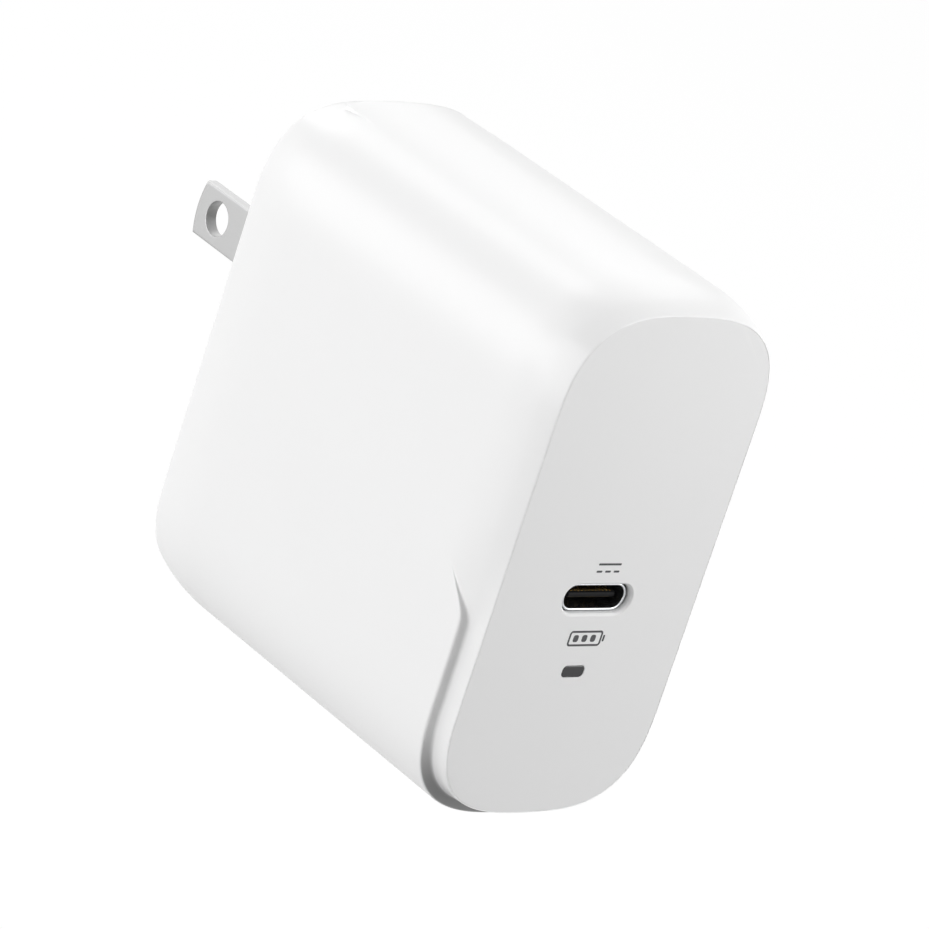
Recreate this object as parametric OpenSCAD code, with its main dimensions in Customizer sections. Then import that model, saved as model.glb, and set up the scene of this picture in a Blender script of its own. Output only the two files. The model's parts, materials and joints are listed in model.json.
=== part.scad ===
// Wall-plug laptop power adapter with a folding two-blade plug, in millimetres.
// +Z is up and +Y points at the wall. The origin lies in the rear face, midway between
// the blades and at their mid-height, where the adapter meets the outlet's face.

/* [Body] */
// Thickness of the body, across its flat sides
body_t = 31.3; // [30.5:0.1:40]
// Height of the body
body_h = 61.1; // [58:0.1:76]
// Depth of the body, from its front face to the wall
body_d = 55.8; // [54:0.1:70]
// Length of the straight stretch of each flat side
flat_h = 32.4; // [28:0.1:40]
// Roundness of the top and bottom: 2 is an ellipse, more is squarer
end_power = 2.94; // [2.4:0.02:3.6]
// Height of the blades above the middle of the body
blade_rise = 8.95; // [6:0.05:10]
// Wall of the housing along the flat sides
side_wall = 2.4; // [2:0.1:2.6]
// Wall of the housing at the rear
rear_wall = 2.0; // [1.6:0.1:2.4]

/* [Sculpted edges] */
// How far the housing stands proud of its front rim
sleeve_proud = 1.2; // [0.8:0.1:1.5]
// Length over which the housing rolls down to its front rim
front_roll = 7; // [6:0.5:9]
// Depth of the step round the lower front
step_d = 2.5; // [2:0.1:3]
// Height of the step's upper end, from the middle of the body
step_top = -6.75; // [-9:0.25:-5]
// Height where the step's crease fades out, from the middle of the body
crease_top = -2.5; // [-3.5:0.25:0]
// How far the housing rolls in at the rear
rear_inset = 1.45; // [1:0.05:1.6]
// Length over which the housing rolls in at the rear
rear_roll = 10; // [8:0.5:12]
// Radius of the rear edge
rear_edge_r = 1; // [0.6:0.1:1.2]
// Width of the raised lip at the top of the rear
lip_w = 16.4; // [12:0.2:18]
// Distance of that lip's sharp edge from the rear face
lip_back = 3.5; // [2.5:0.1:4.5]

/* [Front panel] */
// Width of the housing's rim round the panel
rim_w = 0.3; // [0.2:0.05:0.4]
// Thickness of the panel
panel_t = 1; // [0.8:0.1:1.4]
// Length of the skirt behind the panel
skirt_l = 4; // [3:0.1:5]
// Wall of the skirt
skirt_t = 1; // [0.8:0.1:1.2]
// Gap between the panel and the housing
panel_gap = 0.05; // [0.03:0.01:0.1]

/* [Charge port] */
// Height of the port below the middle of the body
port_drop = 3.65; // [2:0.01:5]
// Distance of the port's mouth behind the front face
port_recess = 0.6; // [0.3:0.05:0.9]
// Width of the port's shell
port_w = 8.94; // [8.9:0.01:9]
// Height of the port's shell
port_h = 3.26; // [3.2:0.01:3.3]
// Sheet thickness of the port's shell
port_sheet = 0.3; // [0.25:0.01:0.35]
// Length of the port's shell
port_l = 6.3; // [6:0.1:8]
// Gap in the panel at each end of the port's shell
port_end_gap = 0.28; // [0.1:0.01:0.3]
// Gap in the panel above and below the port's shell
port_gap = 0.06; // [0.05:0.01:0.15]
// Width of the tongue in the port
tongue_w = 6.69; // [6.6:0.01:6.8]
// Thickness of the tongue in the port
tongue_t = 0.7; // [0.6:0.05:0.8]
// Height of the indicator below the middle of the body
light_drop = 12.2; // [10:0.1:14]
// Width of the indicator
light_w = 3; // [2.4:0.1:4]
// Height of the indicator
light_h = 1.35; // [1:0.05:2]

/* [Plug] */
// Distance between the blades' middles
blade_pitch = 12.7; // [12.7]
// Thickness of a blade
blade_t = 1.5; // [1.5]
// Width of a blade
blade_w = 6.35; // [6.35]
// Length of a blade beyond the rear face
blade_l = 16.4; // [15.9:0.1:19.1]
// How far a blade's rounded tip stands beyond its corners
blade_tip = 0.5; // [0.3:0.1:1]
// Radius of the hole in a blade
blade_hole_r = 2; // [1.5:0.1:2]
// Distance of that hole from the blade's tip
blade_hole_back = 4; // [3:0.1:4.5]
// Depth of the hinge's axis inside the rear face
hinge_in = 3.6; // [3.6:0.1:4]
// Radius of the barrel that carries the blades
barrel_r = 3.4; // [3.3:0.05:3.5]
// Radius of the barrel's journals
journal_r = 1.6; // [1.2:0.1:1.8]
// Radial play of a journal in its bore
journal_play = 0.05; // [0.02:0.01:0.1]
// Play on each side of a folded blade in its slot
slot_play = 0.4; // [0.3:0.05:0.6]

/* [Circuit] */
// Thickness of the boards
board_t = 1.2; // [1:0.1:1.4]
// Thickness of the heat spreaders
spreader_t = 0.5; // [0.3:0.1:0.6]
// Thickness of the insulating sheets
sheet_t = 0.2; // [0.1:0.05:0.3]
// Thickness of the thermal pad under the main board
pad_t = 1.2; // [1:0.1:1.5]
// Width and depth of the transformer
transformer_w = 19; // [16:0.5:20]
// Diameter of the bulk capacitors
bulk_d = 11.5; // [10:0.5:11.5]
// Diameter of the output capacitors
output_d = 6.3; // [5:0.1:6.5]

/* [Hidden] */
$fn = 48;

eps = 0.01;
gap = 0.3;                                  // ordinary clearance between pieces
mid_z = -blade_rise;                        // height of the middle of the body
front_y = -body_d;
half_t = body_t / 2;
cap_h = (body_h - flat_h) / 2;              // height of each rounded end
lead_r = 0.8;
spring_t = 0.4;

// ---- Outline of the body ----

// A column is [side, angle, height]. Side is 1 on the top end, -1 on the bottom end and 0
// on a flat side, where the angle is 0 or 180 and the height is measured from the middle.
function bent(v) = sign(v) * pow(abs(v), 2 / end_power);
function place(c, inset) = [
    (half_t - inset) * bent(cos(c[1])),
    c[0] == 0 ? c[2] : c[0] * (flat_h / 2 + (cap_h - inset) * bent(sin(c[1])))
];

lip_angle = acos(pow(lip_w / 2 / half_t, end_power / 2));
lip_foot = 1.5;                             // degrees from the lip's edge to its foot
shoulder_steps = 9;
lip_steps = 10;
end_steps = 22;

shoulder_angles = [for (i = [0 : shoulder_steps]) (lip_angle - lip_foot) * i / shoulder_steps];
lip_angles = [for (i = [0 : lip_steps]) lip_angle + (180 - 2 * lip_angle) * i / lip_steps];
top_angles = concat(
    shoulder_angles,
    lip_angles,
    [for (i = [shoulder_steps : -1 : 0]) 180 - shoulder_angles[i]]
);
crease_h = crease_top - step_top;
side_heights = [
    (flat_h / 2 + crease_top) / 2, crease_top,
    step_top + crease_h * 0.67, step_top + crease_h * 0.33, step_top,
    (step_top - flat_h / 2) / 2
];
columns = concat(
    [for (a = top_angles) [1, a, 0]],
    [for (h = side_heights) [0, 180, h]],
    [for (i = [end_steps : -1 : 0]) [-1, 180 * i / end_steps, 0]],
    [for (i = [len(side_heights) - 1 : -1 : 0]) [0, 0, side_heights[i]]]
);

function on_lip(c) = c[0] == 1 && c[1] > lip_angle - eps && c[1] < 180 - lip_angle + eps;
function height_of(c) = c[0] == 0 ? c[2] : c[0] * flat_h / 2;
function clamp(v) = min(1, max(0, v));

// Front edge of the proud surface, measured back from the front face
function edge_y(c) =
    step_d + (front_roll - step_d) * clamp((height_of(c) - step_top) / crease_h);
// The surface in front of that edge: flat beside the step, then a roll
function front_inset(c, y) =
    height_of(c) <= step_top ? sleeve_proud
    : let (blend = clamp((height_of(c) - step_top) / 10), u = clamp(y / front_roll))
        sleeve_proud * (blend * pow(1 - u, 2) + (1 - blend) * (1 + cos(180 * u)) / 2);
// The surface behind it: rolled in towards the wall, except on the lip
function rear_surface(y) =
    let (u = clamp((y - body_d + rear_roll) / rear_roll),
        e = clamp((y - body_d + rear_edge_r) / rear_edge_r))
    rear_inset * pow(u, 2.2) + rear_edge_r * (1 - sqrt(1 - e * e));
function rear_at(c, y) = on_lip(c) && y <= body_d - lip_back ? 0 : rear_surface(y);

draft = 0.12;                               // slope of the step's and the lip's walls
lip_y = body_d - lip_back;
front_parts = [0, 0.25, 0.5, 0.75];
rear_ys = concat(
    [for (i = [0 : 3]) body_d - rear_roll + (rear_roll - lip_back) * i / 3],
    [lip_y + draft, (lip_y + body_d - rear_edge_r) / 2],
    [for (a = [90 : -30 : 0]) body_d - rear_edge_r * (1 - cos(a))]
);
rings = concat(
    [for (p = front_parts) [for (c = columns)
        let (y = edge_y(c) * p) concat([y], place(c, front_inset(c, y)))]],
    [[for (c = columns)
        let (y = edge_y(c) - draft) concat([y], place(c, front_inset(c, y)))]],
    [[for (c = columns) concat([edge_y(c)], place(c, 0))]],
    [for (y = rear_ys) [for (c = columns) concat([y], place(c, rear_at(c, y)))]]
);

module skin() {
    n = len(columns);
    m = len(rings);
    points = concat(
        [for (r = rings) for (p = r) [p[1], front_y + p[0], mid_z + p[2]]],
        [[0, front_y, mid_z], [0, 0, mid_z]]
    );
    sides = [for (k = [0 : m - 2]) for (i = [0 : n - 1])
        let (j = (i + 1) % n, a = k * n + i, b = k * n + j)
        each [[a, b, b + n], [a, b + n, a + n]]];
    ends = [for (i = [0 : n - 1]) let (j = (i + 1) % n, last = (m - 1) * n)
        each [[j, i, m * n], [last + i, last + j, m * n + 1]]];
    polyhedron(points = points, faces = concat(sides, ends), convexity = 4);
}

// The same outline drawn in by inset, extruded from depth y0 to depth y1 behind the front
module outline_block(inset, y0, y1) {
    steps = 18;
    turn = concat(
        [for (i = [0 : steps]) [1, 180 * i / steps, 0]],
        [for (i = [steps : -1 : 0]) [-1, 180 * i / steps, 0]]
    );
    translate([0, front_y + y1, mid_z])
        rotate([90, 0, 0])
            linear_extrude(y1 - y0)
                polygon([for (c = turn) place(c, inset)]);
}

panel_inset = sleeve_proud + rim_w;         // the opening that takes the panel
cavity_half = half_t - side_wall;
function cavity_z(x) =                      // the cavity's half height at a given x
    flat_h / 2 + (cap_h - side_wall) * pow(1 - pow(abs(x) / cavity_half, end_power), 1 / end_power);

// ---- Plug and hinge ----

reach = blade_l + hinge_in;                 // hinge axis to blade tip
barrel_half = blade_pitch / 2 + blade_t / 2 + 1.9;
journal_l = 1.4;
bay_side = journal_l + 0.1;
bay_half_w = barrel_half + 0.2 + bay_side;
bay_top = barrel_r + gap + 2.6;
bay_bottom = -(reach + slot_play + 2.5);
bay_floor = hinge_in + barrel_r + gap;      // depth of the pocket's floor
bay_d = bay_floor + 1.7;
bay_r = 1.5;
flange_w = 1.4;
flange_t = 1.2;
tang_w = 3;
tang_r = barrel_r - 0.05;
shoulder = 0.5;                             // hinge axis to the blade's full width
window_h = 5.4;
flat_r = barrel_r - 0.4;                    // hinge axis to the barrel's detent flats
flat_half = 3;
scoop_r = 8;
scoop_d = 2.8;
scoop_z = -(reach - 4.5);

module along_x(r, l, fn = 48) {
    rotate([0, 90, 0]) cylinder(r = r, h = l, center = true, $fn = fn);
}

module at_hinge() {
    translate([0, -hinge_in, 0]) children();
}

module rounded_block(half_w, z0, z1, y0, y1, r) {
    translate([0, y1, 0])
        rotate([90, 0, 0])
            linear_extrude(y1 - y0) {
                translate([-half_w + r, z0]) square([2 * (half_w - r), z1 - z0]);
                translate([-half_w, z0 + r]) square([2 * half_w, z1 - z0 - 2 * r]);
                for (x = [-half_w + r, half_w - r], z = [z0 + r, z1 - r])
                    translate([x, z]) circle(r = r);
            }
}

// ---- Housing ----

board_solder_x = -cavity_half + 0.1 + spreader_t + sheet_t + pad_t;
board_x = board_solder_x + board_t;         // the main board's component face
board_half_z = cavity_z(board_solder_x) - 0.5;
output_rear = front_y + port_recess + port_l + board_t;
board_front = output_rear + gap;
board_rear = -bay_d - spring_t - 1.2;

module board_rails() {
    rail_t = 0.9;
    grip = 0.8;                             // how far a rail reaches over the board
    rail_y = board_front + 4;
    for (x = [board_solder_x - 0.05 - rail_t, board_x + 0.05], s = [-1, 1])
        translate([x, rail_y, mid_z + (s > 0 ? board_half_z - grip : -board_half_z - 2.2)])
            cube([rail_t, board_rear - rail_y - 3, grip + 2.2]);
}

module housing() {
    color("#f4f4f2") {
        difference() {
            skin();
            outline_block(panel_inset, -1, panel_t);
            outline_block(side_wall, panel_t - eps, body_d - rear_wall);
            rounded_block(bay_half_w + 0.1, bay_bottom - 0.1, bay_top + 0.1,
                -rear_wall - 1, 1, bay_r + 0.1);
        }
        board_rails();
    }
}

// ---- Front panel, port and indicator ----

port_z = mid_z - port_drop;
light_z = mid_z - light_drop;
port_mouth = front_y + port_recess;
post_r = 2;
posts = [[-8, mid_z + 5], [8, mid_z - 17]];
screw_r = 0.75;

// A slot with round ends: w wide along X, h high along Z, from y0 to y1
module pill(w, h, y0, y1, z) {
    translate([0, y1, z])
        rotate([90, 0, 0])
            linear_extrude(y1 - y0) {
                square([w - h, h], center = true);
                for (s = [-1, 1]) translate([s * (w - h) / 2, 0]) circle(d = h);
            }
}

// The indicator's outline, grown by play, from y0 to y1
module light_block(play, y0, y1) {
    corner = 0.5;
    rounded_block(light_w / 2 + play, -light_h / 2 - play, light_h / 2 + play, y0, y1,
        corner + play);
}

module front_panel() {
    funnel = 0.25;
    cut_w = port_w + 2 * port_end_gap;
    cut_h = port_h + 2 * port_gap;
    color("#dededd")
        difference() {
            union() {
                outline_block(panel_inset + panel_gap, 0, panel_t);
                difference() {
                    outline_block(side_wall + panel_gap, panel_t - eps, panel_t + skirt_l);
                    outline_block(side_wall + panel_gap + skirt_t, 0, panel_t + skirt_l + 1);
                }
                for (p = posts)
                    translate([p[0], front_y + panel_t - eps, p[1]])
                        rotate([-90, 0, 0])
                            cylinder(r = post_r, h = port_mouth + port_l - front_y - panel_t + eps);
            }
            pill(cut_w, cut_h, front_y - 1, front_y + panel_t + 1, port_z);
            hull() {
                pill(cut_w + 2 * funnel, cut_h + 2 * funnel, front_y - eps, front_y, port_z, $fn = 32);
                pill(cut_w, cut_h, front_y + funnel, front_y + funnel + eps, port_z, $fn = 32);
            }
            translate([0, 0, light_z]) light_block(0.03, front_y - 1, front_y + panel_t + 1);
            for (p = posts)
                translate([p[0], output_rear - board_t + eps, p[1]])
                    rotate([90, 0, 0]) cylinder(r = screw_r + 0.05, h = 4);
        }
}

module port_shell() {
    color("#b9bbbe")
        difference() {
            pill(port_w, port_h, port_mouth, port_mouth + port_l, port_z);
            pill(port_w - 2 * port_sheet, port_h - 2 * port_sheet,
                port_mouth - 1, port_mouth + port_l + 1, port_z);
        }
}

tongue_front = port_mouth + 0.5;
base_l = 2;
module port_tongue() {
    color("#1c1c1e") {
        translate([-tongue_w / 2, tongue_front, port_z - tongue_t / 2])
            cube([tongue_w, port_l - 0.5, tongue_t]);
        pill(port_w - 2 * port_sheet - 0.04, port_h - 2 * port_sheet - 0.04,
            port_mouth + port_l - base_l, port_mouth + port_l, port_z);
    }
}

module port_contacts() {
    pitch = 0.5;
    count = 12;
    pad = [0.26, port_l - base_l - 1, 0.05];
    color("#c9a24a")
        for (i = [0 : count - 1], s = [-1, 1])
            translate([(i - (count - 1) / 2) * pitch - pad[0] / 2, tongue_front + 0.3,
                port_z + (s > 0 ? tongue_t / 2 : -tongue_t / 2 - pad[2])])
                cube(pad);
}

module indicator_window() {
    color("#4a4a4c")
        translate([0, 0, light_z]) light_block(0, front_y, output_rear - board_t - 0.9);
}

module status_light() {
    color("#f3efd8")
        translate([-0.8, output_rear - board_t - 0.6, light_z - 0.4])
            cube([1.6, 0.6, 0.8]);
}

module output_board() {
    half_w = cavity_half - 2;
    color("#2f6b3c")
        difference() {
            translate([-half_w, output_rear - board_t, mid_z - 20])
                cube([2 * half_w, board_t, 28]);
            for (p = posts)
                translate([p[0], output_rear + 1, p[1]])
                    rotate([90, 0, 0]) cylinder(r = screw_r + 0.15, h = board_t + 2);
        }
}

module board_screws() {
    head_h = 0.9;
    color("#9a9ca0")
        for (p = posts)
            translate([p[0], output_rear + head_h, p[1]])
                rotate([90, 0, 0]) {
                    cylinder(r = 1.5, h = head_h);
                    cylinder(r = screw_r, h = head_h + board_t + 3.5);
                }
}

// ---- Blades, carrier and bay ----

module blade(x) {
    w = blade_w / 2;
    tip_steps = 8;
    tip = [for (i = [0 : tip_steps]) let (z = 2 * i / tip_steps - 1) [blade_l - blade_tip * z * z, z * w]];
    color("#c8c9cb")
        translate([x, 0, 0])
            difference() {
                union() {
                    translate([-blade_t / 2, 0, 0])
                        rotate([90, 0, 90])
                            linear_extrude(blade_t)
                                polygon(concat(
                                    [[shoulder - hinge_in, -w]], tip, [[shoulder - hinge_in, w]]
                                ));
                    intersection() {
                        at_hinge() along_x(tang_r, blade_t);
                        at_hinge()
                            translate([-blade_t / 2, -barrel_r, -tang_w / 2])
                                cube([blade_t, barrel_r + shoulder + 1, tang_w]);
                    }
                }
                translate([0, blade_l - blade_hole_back, 0]) along_x(blade_hole_r, blade_t + 2);
            }
}

module blade_left() {
    blade(-blade_pitch / 2);
}

module blade_right() {
    blade(blade_pitch / 2);
}

module blade_carrier() {
    color("#e9e9e7")
        at_hinge()
            difference() {
                union() {
                    along_x(barrel_r, 2 * barrel_half);
                    along_x(journal_r, 2 * (barrel_half + 0.2 + journal_l));
                }
                for (s = [-1, 1])
                    translate([s * blade_pitch / 2 - blade_t / 2, 0, 0]) {
                        translate([0, shoulder, -barrel_r - 1])
                            cube([blade_t, barrel_r, 2 * barrel_r + 2]);
                        translate([0, -barrel_r - 1, -tang_w / 2])
                            cube([blade_t, barrel_r + shoulder + 2, tang_w]);
                    }
                translate([-flat_half, -barrel_r - 1, -barrel_r])
                    cube([2 * flat_half, barrel_r + 1 - flat_r, 2 * barrel_r]);
                translate([-flat_half, -barrel_r, -barrel_r - 1])
                    cube([2 * flat_half, 2 * barrel_r, barrel_r + 1 - flat_r]);
            }
}

module blade_bay() {
    slot_w = blade_t + 2 * slot_play;
    pocket_half = barrel_half + 0.2;
    color("#efefed")
        difference() {
            union() {
                rounded_block(bay_half_w, bay_bottom, bay_top, -bay_d, 0, bay_r);
                rounded_block(bay_half_w + flange_w, bay_bottom - flange_w, bay_top + flange_w,
                    -rear_wall - flange_t, -rear_wall, bay_r);
            }
            at_hinge() along_x(barrel_r + gap, 2 * pocket_half);
            translate([-pocket_half, -hinge_in, -barrel_r - gap])
                cube([2 * pocket_half, hinge_in + 1, 2 * (barrel_r + gap)]);
            at_hinge() along_x(journal_r + journal_play, 2 * bay_half_w + 2);
            for (s = [-1, 1])
                translate([s * blade_pitch / 2 - slot_w / 2, -hinge_in - blade_w / 2 - slot_play,
                    -reach - slot_play])
                    cube([slot_w, hinge_in + blade_w / 2 + slot_play + 1, reach + slot_play + 0.5]);
            translate([0, scoop_r - scoop_d, scoop_z]) along_x(scoop_r, 2 * (bay_half_w - 1.2));
            for (s = [-1, 1])
                translate([s * blade_pitch / 2 - 1.25, -bay_d - 1, -window_h / 2])
                    cube([2.5, bay_d - hinge_in + 1, window_h]);
            translate([-flat_half - 0.2, -bay_d - 1, -window_h / 2])
                cube([2 * flat_half + 0.4, bay_d - hinge_in + 1, window_h]);
        }
}

spring_low = -10;
spring_high = 6;
spring_y = -bay_d - spring_t;

// A leaf on the bay's back, with a half-round bow that reaches through to the barrel
module leaf_spring(x, w) {
    bow_r = bay_d + spring_t - hinge_in - barrel_r - 0.1;
    translate([x, 0, 0]) {
        for (z = [[spring_low, -bow_r + spring_t / 2], [bow_r - spring_t / 2, spring_high]])
            translate([-w / 2, spring_y, z[0]]) cube([w, spring_t, z[1] - z[0]]);
        translate([0, spring_y, 0])
            difference() {
                along_x(bow_r, w);
                along_x(bow_r - spring_t, w + 1);
                translate([-w, -bow_r - 1, -bow_r - 1]) cube([2 * w, bow_r + 1, 2 * bow_r + 2]);
            }
    }
}

module detent_spring() {
    color("#8f9194") leaf_spring(0, 2 * flat_half - 0.6);
}

module contact_spring_left() {
    color("#c08a4a") leaf_spring(-blade_pitch / 2, 1.9);
}

module contact_spring_right() {
    color("#c08a4a") leaf_spring(blade_pitch / 2, 1.9);
}

// A wire from a leaf spring to the board: straight out, a square bend, then across
module lead(x, z) {
    run_y = board_rear - lead_r - 0.2;
    translate([x, spring_y, z]) rotate([90, 0, 0]) cylinder(r = lead_r, h = spring_y - run_y);
    translate([x, run_y, z]) sphere(r = lead_r);
    translate([board_x, run_y, z]) rotate([0, 90, 0]) cylinder(r = lead_r, h = x - board_x);
}

module neutral_lead() {
    color("#2b6cb0") lead(-blade_pitch / 2, spring_high - 1.2);
}

module live_lead() {
    color("#7a4a2a") lead(blade_pitch / 2, spring_low + 2);
}

// ---- Main board and what stands on it ----

row_rear = board_rear - 2 * lead_r - 0.6;   // the components start in front of the leads

// Puts local +Z along +X on the board's component face, and local +X along -Z
module on_board(y, z) {
    translate([board_x, y, mid_z + z]) rotate([0, 90, 0]) children();
}

// A block on the board, from y towards the front and centred on z. Size is its height off
// the board, its depth along the board and its width across it.
module board_block(y, z, size) {
    translate([board_x, y - size[1], mid_z + z - size[2] / 2]) cube(size);
}

// A pin through the board
module pin(y, z, r, l) {
    translate([board_x, y, mid_z + z]) rotate([0, 90, 0]) cylinder(r = r, h = l);
}

module main_board() {
    color("#2f6b3c")
        translate([board_solder_x, board_front, mid_z - board_half_z])
            cube([board_t, board_rear - board_front, 2 * board_half_z]);
}

fuse_l = 8.4;

module fuse() {
    z = 11.2;
    lift = 2.5;
    tube_r = 2;
    cap_r = 2.4;
    foot = [0.6, 1.4, 1.2];
    cap_l = foot[1];
    color("#c9cccf")
        translate([board_x + lift, row_rear, mid_z + z])
            rotate([90, 0, 0]) {
                cylinder(r = tube_r, h = fuse_l);
                for (y = [0, fuse_l - cap_l]) translate([0, 0, y]) cylinder(r = cap_r, h = cap_l);
            }
    color("#c9cccf")
        for (y = [0, fuse_l - cap_l]) board_block(row_rear - y, z, foot);
}

module varistor() {
    z = 12;
    disc_r = 4;
    disc_t = 3.6;
    rear = row_rear - fuse_l - 0.4;
    color("#2a62a8")
        translate([board_x + disc_r + 0.7, rear, mid_z + z])
            rotate([90, 0, 0]) cylinder(r = disc_r, h = disc_t);
    color("#2a62a8")
        for (s = [-1, 1]) pin(rear - disc_t / 2, z + s * 2.5, 0.35, 3.5);
}

module x_capacitor() {
    color("#d8b23a") board_block(row_rear, 3.9, [12, 12, 6]);
}

module y_capacitor() {
    disc_r = 3.5;
    disc_t = 2.8;
    z = 19;
    color("#2e74b5")
        translate([board_x + disc_r + 0.5, row_rear - 4, mid_z + z - disc_t / 2])
            cylinder(r = disc_r, h = disc_t);
    color("#2e74b5")
        for (y = [-6, -2]) pin(row_rear + y, z, 0.3, 3);
}

choke_or = 6;
choke_ir = 3.6;
choke_h = 5.6;
winding_t = 0.6;
choke_y = row_rear - choke_or - winding_t - 0.2;
choke_z = -8.2;

module choke_core() {
    color("#3c3f3a")
        on_board(choke_y, choke_z)
            translate([0, 0, winding_t + 0.1])
                difference() {
                    cylinder(r = choke_or, h = choke_h);
                    translate([0, 0, -1]) cylinder(r = choke_ir, h = choke_h + 2);
                }
}

module choke_winding(side) {
    t = winding_t;
    play = 0.05;
    color("#b8692e")
        on_board(choke_y, choke_z)
            rotate([0, 0, side > 0 ? -60 : 120])
                difference() {
                    rotate_extrude(angle = 120)
                        translate([choke_ir - t - play, 0])
                            square([choke_or - choke_ir + 2 * (t + play), choke_h + 2 * t + 0.2]);
                    translate([0, 0, t + 0.1 - play])
                        rotate([0, 0, -10])
                            rotate_extrude(angle = 140)
                                translate([choke_ir - play, 0])
                                    square([choke_or - choke_ir + 2 * play, choke_h + 2 * play]);
                }
}

module choke_winding_left() {
    choke_winding(-1);
}

module choke_winding_right() {
    choke_winding(1);
}

module bridge_rectifier() {
    color("#26272a") board_block(row_rear - 1.5, -19.2, [8, 10, 3.6]);
}

bulk_h = 20;
bulk_y = board_front + output_d + 2.5 + bulk_d / 2;
bulk_z = 0.45 - bulk_d / 2;

module can(y, z, d, h, shade) {
    groove = 0.35;
    color(shade)
        on_board(y, z)
            difference() {
                cylinder(d = d, h = h);
                translate([0, 0, 1.6])
                    difference() {
                        cylinder(d = d + 1, h = 0.8);
                        translate([0, 0, -1]) cylinder(d = d - 2 * groove, h = 3);
                    }
            }
}

module bulk_capacitor_1() {
    can(bulk_y, bulk_z, bulk_d, bulk_h, "#1f2a44");
}

module bulk_capacitor_2() {
    can(bulk_y, bulk_z - bulk_d - 0.4, bulk_d, bulk_h, "#1f2a44");
}

output_y = board_front + 1.2 + output_d / 2;
output_z = -1.8 - output_d / 2;
output_h = 11;

module output_capacitor_1() {
    can(output_y, output_z, output_d, output_h, "#3a3f45");
}

module output_capacitor_2() {
    can(output_y, output_z - output_d - 0.8, output_d, output_h, "#3a3f45");
}

transformer_y = board_front + 0.9 + transformer_w / 2;
transformer_z = 10.2;
core_wall = 3.2;
core_leg_r = 3.6;
core_h = 19;
winding_h = core_h - 2 * core_wall - 2.4;

// One half of a pot-like core: a plate, two outer legs and a round centre leg
module core_half() {
    l = core_h / 2;
    w = transformer_w;
    translate([-w / 2, -w / 2, 0]) cube([w, w, core_wall]);
    for (s = [-1, 1])
        translate([s > 0 ? w / 2 - core_wall : -w / 2, -w / 2, 0]) cube([core_wall, w, l]);
    cylinder(r = core_leg_r, h = l);
}

module transformer_core_lower() {
    color("#35373a") on_board(transformer_y, transformer_z) core_half();
}

module transformer_core_upper() {
    color("#35373a")
        on_board(transformer_y, transformer_z)
            translate([0, 0, core_h]) mirror([0, 0, 1]) core_half();
}

bobbin_r = transformer_w / 2 - core_wall - 0.3;
module transformer_bobbin() {
    color("#2b2b2e")
        on_board(transformer_y, transformer_z)
            translate([0, 0, core_wall + 0.1])
                difference() {
                    union() {
                        cylinder(r = core_leg_r + 0.9, h = winding_h + 2.2);
                        cylinder(r = bobbin_r, h = 0.9);
                        translate([0, 0, winding_h + 1.3]) cylinder(r = bobbin_r, h = 0.9);
                    }
                    translate([0, 0, -1]) cylinder(r = core_leg_r + 0.1, h = core_h);
                }
}

module transformer_winding() {
    color("#c99a2e")
        on_board(transformer_y, transformer_z)
            translate([0, 0, core_wall + 1.1])
                difference() {
                    cylinder(r = bobbin_r - 0.3, h = winding_h + 0.2);
                    translate([0, 0, -1]) cylinder(r = core_leg_r + 1, h = core_h);
                }
}

module optocoupler() {
    color("#e8e6df") board_block(board_front + 7.5, -20, [3.4, 6, 4.6]);
}

// Flat packages on the solder side, between the board and the insulating sheet
module solder_block(y, z, size) {
    translate([board_solder_x - size[0], y, mid_z + z]) cube(size);
}

module switch_transistor() {
    color("#1b1b1d") solder_block(board_front + 22, -8, [0.9, 8, 8]);
}

module sync_rectifier() {
    color("#1b1b1d") solder_block(board_front + 4, -14, [0.9, 6, 5]);
}

module controller_chip() {
    size = [5, 0.9, 5];
    color("#1b1b1d") translate([1.5, output_rear, mid_z - 4]) cube(size);
}

module chip_parts() {
    part = [1, 0.5, 1.6];
    pitch = part[2] + 0.8;
    top = port_z - port_h / 2 - 0.5;        // both rows stay below the port
    color("#b9a88a")
        for (x = [-9, -6, 4, 7], row = [1, 2])
            translate([x, output_rear - board_t - part[1], top - row * pitch])
                cube(part);
}

// ---- Heat path ----

path_y = board_front + 0.8;
path_l = board_rear - 2.5 - path_y;
path_half_z = flat_h / 2 - 0.4;
top_x = board_x + core_h;

module cover(x, t) {
    translate([x, path_y, mid_z - path_half_z]) cube([t, path_l, 2 * path_half_z]);
}

module heat_spreader_left() {
    color("#b4b8bc") cover(-cavity_half + 0.1, spreader_t);
}

module heat_spreader_right() {
    color("#b4b8bc") cover(cavity_half - 0.1 - spreader_t, spreader_t);
}

module insulating_sheet_left() {
    color("#d9b64a") cover(-cavity_half + 0.1 + spreader_t, sheet_t);
}

module insulating_sheet_right() {
    color("#d9b64a") cover(cavity_half - 0.1 - spreader_t - sheet_t, sheet_t);
}

module thermal_pad_left() {
    color("#8aa0b8")
        translate([board_solder_x - pad_t, transformer_y - transformer_w / 2,
            mid_z + 1])
            cube([pad_t, transformer_w, path_half_z - 1.5]);
}

module thermal_pad_right() {
    color("#8aa0b8")
        translate([top_x, transformer_y - transformer_w / 2, mid_z + 1])
            cube([cavity_half - 0.1 - spreader_t - sheet_t - top_x, transformer_w,
                path_half_z - 1.5]);
}

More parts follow.
